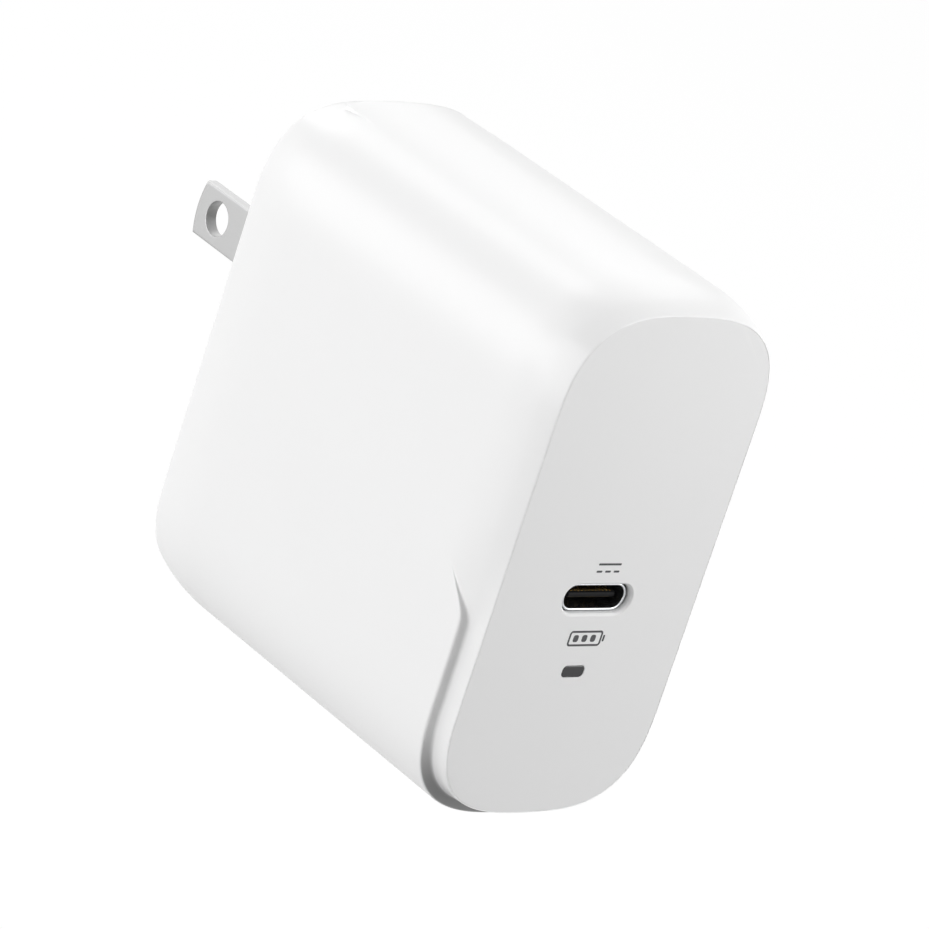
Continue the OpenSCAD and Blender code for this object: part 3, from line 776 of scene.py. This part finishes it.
def makeMarks():
    bm = newMesh()
    stroke = marks["stroke"]
    thick = panel["sunk"]
    x = marks["x"]

    def bar(halfW, halfH, barX, barZ):
        radius = min(halfW, halfH) * 0.7
        capped(bm, [roundRing(halfW, halfH, radius, y, barZ, barX, 4) for y in (0, thick)])

    half = marks["currentHalfW"]
    bar(half, stroke / 2, x, marks["currentTop"])
    for side in (-1, 0, 1):
        bar(marks["dash"] / 2, stroke / 2, x + side * (half - marks["dash"] / 2), marks["currentBottom"])
    z = marks["batteryZ"]
    halfW = marks["batteryHalfW"]
    halfH = marks["batteryHalfH"]
    corner = marks["corner"]
    poleHalfW, poleHalfH = marks["poleHalf"]
    frameRows = [(0, thick), (0, 0), (stroke, 0), (stroke, thick), (0, thick)]
    loft(bm, [roundRing(halfW - d, halfH - d, corner - d, y, z, x, 6) for d, y in frameRows])
    bar(poleHalfW, poleHalfH, x + halfW + 2 * poleHalfW, z)
    for i in range(marks["bars"]):
        bar(marks["barHalfW"], halfH - 2.1 * stroke, (i - 1) * marks["barPitch"], z)
    close(bm)
    newPiece("panel_marks", bm, "black_moulding", [], finish="panel_ink")


port = {  # a sheet steel shell, and in it a tongue that stands on a collar and a base
    "sheet": 0.3, "lip": 0.14,
    "tongueHalfW": 3.345, "tongueNose": ((0, 0.22), (0.08, 0.1), (0.25, 0.0), (4.2, 0.0)),
    "tongueCorner": 0.1, "tongueTaper": 0.6, "contactProud": 0.05,
    "collarHalf": (3.6, 0.75), "collarRows": ((-0.9, 0.1), (-0.8, 0), (0.3, 0)), "collarCorner": 0.3,
    "baseLength": 2, "baseGap": 0.02, "baseEdge": 0.12,
}


def makePort():
    sheet = port["sheet"]
    lipEnd = portFront + port["lip"]
    rows = curveOf((lipEnd, 0), (portFront, 0), (portFront, sheet / 2), 4)
    rows += curveOf((portFront, sheet / 2), (portFront, sheet), (lipEnd, sheet), 4)[1:]
    rows = [(portBack, 0), *rows, (portBack, sheet), (portBack, 0)]
    rings = [portRing(-inset, y) for y, inset in rows]
    simplePiece("port_shell_steel", loft, rings, "plated_shell", "port_shell")

    contactLow, contactHigh = boxOf("port_contacts")
    halfW = port["tongueHalfW"]
    halfH = (contactHigh.z - contactLow.z) / 2 - port["contactProud"]
    start = boxOf("port_tongue")[0].y - frontY
    corner = port["tongueCorner"]
    taper = port["tongueTaper"]
    nose = port["tongueNose"]
    bm = newMesh()
    capped(bm, [roundRing(halfW - d * taper, halfH - d, corner, start + y, portZ) for y, d in nose])
    base = portBack - port["baseLength"]
    inner = sheet + port["baseGap"]
    edge = port["baseEdge"]
    capped(bm, [portRing(-inner - d, y) for y, d in ((base, edge), (base + edge, 0), (portBack, 0))])
    halfW, halfH = port["collarHalf"]
    corner = port["collarCorner"]
    capped(bm, [roundRing(halfW - d, halfH - d, corner, base + y, portZ) for y, d in port["collarRows"]])
    close(bm)
    newPiece("port_tongue_moulding", bm, "black_moulding", ["port_tongue"])
    refine("port_contacts", "gold_contact", 0.02, segments=1)


def makeIndicator():
    rows = (*indicator["rounding"], (windowHigh.y - frontY, 0.0))
    rings = [windowRing(grown, y) for y, grown in rows]
    simplePiece("indicator_lens", capped, rings, "smoked_window", "indicator_window")
    refine("status_light", "light_body", indicator["lightEdge"])


blade = {  # in millimetres; its tang turns round the hinge, and its hole is measured from the tip
    "width": 6.35,
    "thick": 1.5,
    "tip": 0.5,
    "tipSteps": 12,
    "shoulder": 0.5,
    "tangHalf": 1.5,
    "tangR": 3.35,
    "tangSteps": 6,
    "holeR": 2,
    "holeBack": 4,
    "holeSteps": 48,
    "edge": 0.07,
    "tipEdge": 0.25,
    "support": 0.12,
}
hingeY = frame["joints"][0]["pos_m"][1] / mm


def makeBlade(node):
    low, high = boxOf(node)
    middle = (low.x + high.x) / 2
    tip = high.y
    half = blade["width"] / 2
    start = hingeY + blade["shoulder"]
    tang = blade["tangHalf"]
    tangR = blade["tangR"]
    steps = blade["tipSteps"]
    across = [2 * i / steps - 1 for i in range(steps + 1)]
    outer = [(start, -half)] + [(tip - blade["tip"] * part ** 2, half * part) for part in across]
    outer += [(start, half), (start, tang)]
    sweep = math.asin(tang / tangR)
    for i in range(blade["tangSteps"] + 1):
        turn = math.pi - sweep + 2 * sweep * i / blade["tangSteps"]
        outer.append((hingeY + tangR * math.cos(turn), tangR * math.sin(turn)))
    outer.append((start, -tang))
    outer = [Vector(spot) for spot in outer]
    atTip = range(1, steps + 2)
    outerEdges = [blade["tipEdge"] if i in atTip else blade["edge"] for i in range(len(outer))]

    holeY = tip - blade["holeBack"]
    radius = blade["holeR"]
    turns = fullTurn(blade["holeSteps"])
    hole = [Vector((holeY + radius * math.cos(t), -radius * math.sin(t))) for t in turns]

    bm = newMesh()
    thin = blade["thick"] / 2
    ends = []
    for points, sizes in ((outer, outerEdges), (hole, [blade["edge"]] * len(hole))):
        rings = []
        for side in (-1, 1):
            rows = []
            for turn, more in [(0, blade["support"])] + [(math.pi / 2 * i / 4, 0) for i in range(5)]:
                drawn = inward(points, [more + size * (1 - math.sin(turn)) for size in sizes])
                rows.append([
                    Vector((middle + side * (thin - size * (1 - math.cos(turn))), spot.x, spot.y))
                    for spot, size in zip(drawn, sizes)
                ])
            rings += rows if side < 0 else rows[::-1]
        ends.append(loft(bm, rings))
    for outerEnd, holeEnd in zip(*ends):
        fill(bm, (-1, 0, 0), outerEnd, holeEnd)
    close(bm)
    newPiece(node + "_plated", bm, "nickel_blade", [node], "plug")


boardLow, boardHigh = boxOf("main_board")
boardFace = boardHigh.x  # the components stand on this face of the main board
rail = {"thick": 0.9, "grip": 0.8, "height": 3, "front": 4, "rear": 3, "play": 0.05}


def makeRails(bm):
    # Four ribs in the housing hold the main board by its long edges
    for x in (boardLow.x - rail["play"] - rail["thick"], boardHigh.x + rail["play"]):
        for low in (boardHigh.z - rail["grip"], boardLow.z + rail["grip"] - rail["height"]):
            block(
                bm, Vector((x, boardLow.y + rail["front"], low)),
                Vector((x + rail["thick"], boardHigh.y - rail["rear"], low + rail["height"])),
            )


lead = {"bend": 1.3, "bendSteps": 8, "sides": 20}


def makeLead(node, slot):
    # From a leaf spring forwards, round a bend and across to the board
    low, high = boxOf(node)
    radius = (high.z - low.z) / 2
    bend = lead["bend"]
    z = (low.z + high.z) / 2
    x = high.x - radius
    y = low.y + radius
    path = [Vector((x, high.y, z)), Vector((x, y + bend, z))]
    for i in range(1, lead["bendSteps"]):
        turn = math.pi / 2 * i / lead["bendSteps"]
        path.append(Vector((x - bend * (1 - math.cos(turn)), y + bend * (1 - math.sin(turn)), z)))
    path += [Vector((x - bend, y, z)), Vector((low.x, y, z))]
    bm = newMesh()
    wire(bm, path, radius, lead["sides"])
    close(bm)
    newPiece(node + "_insulated", bm, slot, [node])


screw = {  # a domed head with a cross in it, over a blunt shank
    "headR": 1.5, "headH": 0.9, "dome": 0.3, "edge": 0.1, "sides": 48,
    "crossHalf": 0.28, "crossReach": 0.95, "crossDepth": 0.55, "crossTaper": 0.75,
    "shankR": 0.72, "point": 0.6, "pointR": 0.25,
}


def makeScrews():
    low, high = boxOf("board_screws")
    length = high.y - low.y
    radius = screw["headR"]
    height = screw["headH"]
    edge = screw["edge"]
    arm = screw["crossReach"]
    rows = [(-height, radius - edge), (edge - height, radius)]
    rows += curveOf((-screw["dome"], radius), (0, radius - edge), (0, arm + 2 * edge), 4)
    reaches = []
    for turn in fullTurn(screw["sides"]):
        part = min(abs(math.cos(turn)), abs(math.sin(turn)))
        reaches.append(arm if part * arm < screw["crossHalf"] else screw["crossHalf"] / part)
    shank = [(0.02 - height, screw["shankR"]), (-height - 0.05, screw["shankR"])]
    shank += [(screw["point"] - length, screw["shankR"]), (-length, screw["pointR"])]
    bm = newMesh()
    for x, h in panel["posts"]:
        top = Vector((x, high.y, midZ + h))
        head = turned(top, rearward, rows, screw["sides"])
        ways = [(spot - top).normalized() for spot in head[-1]]
        for down, shrink in ((0, 1), (screw["crossDepth"], screw["crossTaper"])):
            base = top - rearward * down
            head.append([base + way * reach * shrink for way, reach in zip(ways, reaches)])
        capped(bm, head)
        capped(bm, turned(top, rearward, shank, 24))
    close(bm)
    newPiece("board_screws_cross", bm, "zinc_screw", ["board_screws"])


fuse = {  # a glass tube between two caps, each held by a clip on the board
    "capLength": 1.4, "capOver": 0.4, "capEdge": 0.25, "capFloor": 0.35,
    "tubeStart": 0.3, "tubeWall": 0.5, "tubeGap": 0.03,
    "clipHalf": 0.6, "wireR": 0.1,
}


def makeFuse():
    low, high = boxOf("fuse")
    capR = (high.z - low.z) / 2
    tubeR = capR - fuse["capOver"]
    bore = tubeR - fuse["tubeWall"]
    middle = Vector((high.x - capR, low.y, (low.z + high.z) / 2))
    length = high.y - low.y
    start = fuse["tubeStart"]
    end = length - start
    rows = [(start, tubeR), (end, tubeR), (end, bore), (start, bore), (start, tubeR)]
    simplePiece("fuse_tube", loft, turned(middle, rearward, rows), "fuse_glass", "fuse")

    edge = fuse["capEdge"]
    capL = fuse["capLength"]
    inner = tubeR + fuse["tubeGap"]
    rows = [(0, capR - edge), (0.07, capR - 0.07), (edge, capR), (capL, capR), (capL, inner)]
    rows += [(fuse["capFloor"], inner), (fuse["capFloor"], 0.3)]
    clip = fuse["clipHalf"]
    bm = newMesh()
    for y, way in ((0, 1), (length, -1)):
        capped(bm, turned(middle + rearward * y, rearward * way, rows))
        foot = middle.y + y + (0 if way > 0 else -capL)
        block(
            bm, Vector((boardFace, foot, middle.z - clip)),
            Vector((middle.x - capR + edge, foot + capL, middle.z + clip)),
        )
    wire(bm, [middle + rearward * start, middle + rearward * end], fuse["wireR"])  # it melts
    close(bm)
    newPiece("fuse_caps", bm, "tin_parts", [])


disc = {  # half of the profile, in shares of the thickness and the radius; leads in millimetres
    "face": ((-0.5, 0.35), (-0.47, 0.7)),
    "rim": ((-0.42, 0.82), (-0.34, 1), (0, 1)),
    "spread": {"varistor": 2.5, "y_capacitor": 2},
    "bendAt": 1.2,
    "into": 0.25,
    "leadR": 0.3,
}


def makeDiscs():
    # The varistor and the mains filter capacitor are coated discs on two wires
    leads = newMesh()
    for node, across in (("varistor", rearward), ("y_capacitor", Vector((0, 0, 1)))):
        low, high = boxOf(node)
        size = high - low
        thick = size.dot(across)
        radius = (size.y + size.z - thick) / 2
        middle = (low + high) / 2
        middle.x = high.x - radius
        rows = [(thick * t, radius * r) for t, r in (*disc["face"], *curveOf(*disc["rim"], 6))]
        rows += [(-along, r) for along, r in reversed(rows[:-1])]
        rings = turned(middle, across, rows, 56)
        simplePiece(node + "_coated", capped, rings, "component_blue", node)
        spread = across.cross(outward) * disc["spread"][node]
        for way in (-1, 1):
            foot = Vector((boardFace, middle.y, middle.z)) + spread * way
            into = foot * (1 - disc["into"]) + middle * disc["into"] + outward * 0.9
            wire(leads, [foot, foot + outward * disc["bendAt"], into], disc["leadR"], 12)
    close(leads)
    newPiece("disc_leads", leads, "tin_parts", [])


choke = {  # a ring with two windings, each over a sweep in degrees
    "outer": 6, "inner": 3.6, "height": 5.6, "edge": 0.35,
    "wireR": 0.26, "slack": 0.05,
    "turns": 11, "sweep": 112, "steps": 24, "square": 0.3,
}


def standing(node):
    # A round component on the board: the middle of its foot, its radius and its height
    low, high = boxOf(node)
    foot = (low + high) / 2
    foot.x = low.x
    return foot, (high.y - low.y) / 2, high.x - low.x


def makeChoke():
    foot = standing("choke_core")[0]
    inner = choke["inner"]
    outer = choke["outer"]
    height = choke["height"]
    edge = choke["edge"]
    rows = []
    for r, dr, x, dx in (
        (outer, -edge, 0, edge), (outer, -edge, height, -edge),
        (inner, edge, height, -edge), (inner, edge, 0, edge),
    ):
        legs = [(x + dx, r), (x, r), (x, r + dr)]
        if (dr < 0) == (dx > 0):
            legs.reverse()
        rows += curveOf(*legs, 4)
    rings = turned(foot, outward, rows + rows[:1], 72)
    simplePiece("choke_ring", loft, rings, "ferrite", "choke_core")

    wireR = choke["wireR"]
    halfR = (outer - inner) / 2 + wireR + choke["slack"]
    halfH = height / 2 + wireR + choke["slack"]
    square = choke["square"]
    count = choke["turns"] * choke["steps"]
    for node in ("choke_winding_left", "choke_winding_right"):
        side = 1 if standing(node)[0].z > foot.z else -1
        path = []
        for i in range(count + 1):
            around = 2 * math.pi * i / choke["steps"]
            c = math.cos(around)
            s = math.sin(around)
            r = (outer + inner) / 2 + halfR * math.copysign(abs(c) ** square, c)
            x = height / 2 + halfH * math.copysign(abs(s) ** square, s)
            turn = math.radians(choke["sweep"]) * (i / count - 0.5)
            path.append(foot + Vector((x, r * math.sin(turn), side * r * math.cos(turn))))
        bm = newMesh()
        for end in (path[0], path[-1]):
            wire(bm, [end, Vector((boardFace, end.y, end.z))], wireR)
        wire(bm, path, wireR)
        close(bm)
        newPiece(node + "_turns", bm, "copper_wire", [node])


can = {  # heights over the foot or under the top, each with what comes off the radius there
    "foot": ((0, 1.1), (0, 0.5), (0.15, 0.15), (0.5, 0), (1.5, 0)),
    "bead": ((1.6, 0), (1.95, 0.45), (2.3, 0)),
    "shoulder": ((0.45, 0), (0, 0), (0, 0.45)),
    "lid": ((0, 0.62), (0.16, 0.72)),
    "lidSunk": 0.18,
    "lidMiddle": 0.3,
}


def makeCan(node, code):
    foot, radius, height = standing(node)
    rows = [(up, radius - less) for up, less in (*can["foot"], *curveOf(*can["bead"], 6))]
    top = (*curveOf(*can["shoulder"], 5), *can["lid"])
    rows += [(height - down, radius - less) for down, less in top]
    rows.append((height - can["lidSunk"], radius * can["lidMiddle"]))
    finish = node + "_sleeve"
    sleeve(finish, code, foot, radius, foot.x + height)
    rings = turned(foot, outward, rows, 56)
    simplePiece(node + "_sleeved", capped, rings, "capacitor_sleeve", node, finish)


wrap = {"edge": 0.5, "inner": 4.6, "layers": 9, "ridge": 0.06}  # the tape on the transformer


def makeTransformer():
    for node in ("transformer_core_lower", "transformer_core_upper"):
        refine(node, "ferrite", 0.25)
    refine("transformer_bobbin", "component_black", 0.12)
    foot, radius, height = standing("transformer_winding")
    edge = wrap["edge"]
    rows = curveOf((0, radius - edge), (0, radius), (edge, radius), 5)
    layers = enumerate(spaced(0.06, 0.94, wrap["layers"]))
    rows += [(height * part, radius - wrap["ridge"] * (k % 2)) for k, part in layers]
    rows += curveOf((height - edge, radius), (height, radius), (height, radius - edge), 5)
    rows += [(height, wrap["inner"]), (0, wrap["inner"]), rows[0]]
    rings = turned(foot, outward, rows, 72)
    simplePiece("transformer_wrap", loft, rings, "yellow_tape", "transformer_winding")


leg = {  # its path is given by the distance from the chip's side and from the board
    "pitch": 1.25,
    "path": ((0.75, 0.1), (0.4, 0.1), (0.25, 0.35), (-0.3, 0.4)),
    "wireR": 0.1,
}


def makeChips():
    legs = newMesh()
    for node in ("switch_transistor", "sync_rectifier", "controller_chip"):
        refine(node, "component_black", 0.1)
        low, high = boxOf(node)
        onRear = node == "controller_chip"  # of the output board
        wide = high.z - low.z
        count = int(wide / leg["pitch"])
        for i in range(count):
            z = low.z + wide * (i + 0.5) / count
            for way, end in ((-1, low), (1, high)):
                if onRear:
                    path = [Vector((end.x + way * off, low.y + up, z)) for off, up in leg["path"]]
                else:
                    path = [Vector((high.x - up, end.y + way * off, z)) for off, up in leg["path"]]
                wire(legs, path, leg["wireR"])
    close(legs)
    newPiece("chip_legs", legs, "tin_parts", [])
    refine("optocoupler", "component_white", 0.2)
    refine("bridge_rectifier", "component_black", 0.3)
    refine("chip_parts", "tin_parts", 0.06, finish="chip_parts")


view = {  # turned about the middle of the front panel, in degrees and millimetres
    "azimuth": -44.107,
    "elevation": 19.232,
    "roll": 18.312,
    "distance": 582.35,
    "acrossShift": 15.057,
    "upShift": -10.904,
    "pixels": 929,
    "focalPixels": 5563.5,
    "sensor": 36,
}


def makeCamera():
    a = math.radians(view["azimuth"])
    e = math.radians(view["elevation"])
    r = math.radians(view["roll"])
    back = Vector((math.sin(a) * math.cos(e), -math.cos(a) * math.cos(e), math.sin(e)))
    level = Vector((math.cos(a), math.sin(a), 0))
    upright = back.cross(level)
    right = math.cos(r) * level + math.sin(r) * upright
    up = math.cos(r) * upright - math.sin(r) * level
    target = Vector((0, frontY, midZ))
    spot = target - view["acrossShift"] * right - view["upShift"] * up + view["distance"] * back
    data = bpy.data.cameras.new("camera")
    data.sensor_width = view["sensor"]
    data.lens = view["focalPixels"] * view["sensor"] / view["pixels"]
    data.clip_start = 0.01
    camera = newObject("camera", data)
    aim = Matrix((right, up, back)).transposed().to_4x4()
    camera.matrix_world = Matrix.Translation(spot * mm) @ aim
    bpy.context.scene.camera = camera


lamps = {  # each soft panel: the way to it, its distance and size in metres, and its power
    "left": ((-1, 0, 0.15), 0.8, 0.85, 5.1),
    "frontRight": ((0.8, -1, 0.3), 0.8, 0.7, 4.0),
    "topBack": ((0, 1, 1), 0.8, 0.5, 0.82),
    "highBack": ((-1, 1, 1.2), 0.8, 0.5, 0.55),
    "backLeft": ((-0.73, 0.68, 0.12), 0.8, 0.5, 1.2),
    "backRight": ((0.35, 0.68, 0.6), 0.8, 0.8, 1.95),
    "nearFront": ((0.5, -0.8, 0.8), 0.22, 0.15, 0.168),
}
lampTarget = Vector((0, -0.028, midZ * mm))  # in the body's middle, in metres


def makeLights():
    for name, (way, distance, size, power) in lamps.items():
        data = bpy.data.lights.new(name, "AREA")
        data.shape = "DISK"
        data.size = size
        data.energy = power
        light = newObject(name, data)
        way = Vector(way).normalized()
        light.location = lampTarget + way * distance
        light.rotation_euler = (-way).to_track_quat("-Z", "Y").to_euler()


stage = {  # the world is white to look at but gives little light; the floor glows just as white
    "worldLight": 0.08,
    "floorDrop": 0.16,
    "floorSize": 20,
    "floorGrey": 0.4,
    "glow": 1.09,
    "glowShare": 0.9,
}


def makeStage():
    world = bpy.data.worlds.new("studio")
    bpy.context.scene.world = world
    g = Graph(world)
    strength = stage["worldLight"] + g.shown() * (1 - stage["worldLight"])
    sky = g.node("ShaderNodeBackground", None, {"Color": (1, 1, 1, 1), "Strength": strength})
    g.node("ShaderNodeOutputWorld", None, {"Surface": sky})

    bm = bmesh.new()
    bmesh.ops.create_grid(bm, x_segments=1, y_segments=1, size=stage["floorSize"])
    bmesh.ops.translate(bm, verts=bm.verts, vec=(0, 0, bodyLow.z * mm - stage["floorDrop"]))
    mesh = bpy.data.meshes.new("floor")
    bm.to_mesh(mesh)
    bm.free()
    floor = newObject("floor", mesh)
    paper = bpy.data.materials.new("pale_floor")
    g = Graph(paper)
    grey = stage["floorGrey"]
    matt = g.node("ShaderNodeBsdfDiffuse", None, {"Color": (grey, grey, grey, 1)})
    glow = g.node("ShaderNodeEmission", None, {"Color": (1, 1, 1, 1), "Strength": stage["glow"]})
    mixed = g.node("ShaderNodeMixShader", None, {0: g.shown() * stage["glowShare"], 1: matt, 2: glow})
    g.node("ShaderNodeOutputMaterial", None, {"Surface": mixed})
    mesh.materials.append(paper)


bpy.context.scene.view_settings.view_transform = "Standard"
makeCamera()
makeStage()
makeLights()
print("camera and light are set")

creaseShade = {  # painted shade: the foot of the step is painted greyer under the body, where its shadow falls: heights and distances in millimetres
    "height": (-28, -37),
    "foot": (frontY + 2.0, frontY + 2.4),
    "crest": (frontY + 2.5, frontY + 2.65),
    "code": "#8c8c8c",
}
# The white shell carries the painted shade in the foot of its step
plastic("white_shell", "#f4f4f4", 0.34, 0.0015, 0.006, 0.15, creaseShade=creaseShade)
plastic("grey_panel", "#e6e6e6", 0.5, 0.003, 0.006)
plastic("white_insert", "#efefed", 0.5, 0.003, 0.01)
plastic("panel_ink", "#3a3a3c", 0.6, 0.001, 0.02)
plastic("black_moulding", "#0e0e10", 0.55, 0.002, 0.1, shine=0.1)
plastic("smoked_window", "#1d1d1f", 0.25, 0.0005, 0.02)
plastic("light_body", "#f3efd8", 0.4)
metal("plated_shell", "#c4c6c8", 0.22, dull=0.1, depth=0.001)
metal("gold_contact", "#b8995c", 0.25)
metal("nickel_blade", "#aeaeae", 0.5, (0.6, 0.25, 1.6), 0.06, 0.001)

makeHousing()
makePanel()
makeMarks()
makePort()
makeIndicator()
for name in ("blade_left", "blade_right"):
    makeBlade(name)
refine("blade_carrier", "white_insert", 0.12, "plug")
refine("blade_bay", "white_insert", 0.15)
print("shell, port and plug are made")

metal("spring_steel", "#9da0a4", 0.3, (6, 1, 1))
metal("spring_bronze", "#c08a4a", 0.28, (6, 1, 1))
metal("zinc_screw", "#a6a8ab", 0.3, dull=0.2)
metal("tin_parts", "#b9bbbd", 0.32, dull=0.2)
metal("copper_wire", "#b8692e", 0.25, dull=0.25)
metal("aluminium_sheet", "#b9bcc0", 0.35, (1, 0.15, 6), 0.08)
plastic("ferrite", "#3b3d40", 0.62, 0.012, 0.1, size=5)
plastic("component_black", "#212226", 0.55, 0.006, 0.1, size=7)
plastic("component_blue", "#2a62a8", 0.28, 0.03, 0.06, 0.3, 1.5)
plastic("component_yellow", "#d8b23a", 0.34, 0.004, 0.04, 0.1)
plastic("component_white", "#e8e6df", 0.45, 0.004, 0.03)
plastic("thermal_pad", "#8aa0b8", 0.85, 0.02, 0.05, size=4)
plastic("amber_film", "#cc9a2c", 0.2, 0.003, 0.08, 0.4, 2)
plastic("blue_wire", "#2b6cb0", 0.38, 0.003, 0.04)
plastic("brown_wire", "#7a4a2a", 0.38, 0.003, 0.06)
board("circuit_board", "#1d5a34", "#2f7a48")
taped("yellow_tape", "#d9a62c")
glass("fuse_glass", "#e4eaeb")

refine("detent_spring", "spring_steel", 0.07)
for side in ("left", "right"):
    refine("contact_spring_" + side, "spring_bronze", 0.07)
makeLead("neutral_lead", "blue_wire")
makeLead("live_lead", "brown_wire")
for name in ("main_board", "output_board"):
    refine(name, "circuit_board", 0.06, segments=1)
makeScrews()
print("springs, leads and boards are made")

makeFuse()
makeDiscs()
makeChoke()
for name in ("bulk_capacitor_1", "bulk_capacitor_2", "output_capacitor_1", "output_capacitor_2"):
    makeCan(name, "#1f2a44" if "bulk" in name else "#33383e")
makeTransformer()
partLow, partHigh = boxOf("chip_parts")
partLength = 1.6
partPitch = partHigh.z - partLow.z - partLength
chipBody("chip_parts", "#9c7f55", "#c4c4c2", partLow.z, partPitch, partLength)
makeChips()
refine("x_capacitor", "component_yellow", 0.5, segments=3)
print("components are made")

for side in ("left", "right"):
    refine("thermal_pad_" + side, "thermal_pad", 0.15)
    refine("heat_spreader_" + side, "aluminium_sheet", 0.08)
    refine("insulating_sheet_" + side, "amber_film", 0.04, segments=1)
print("heat path is made")
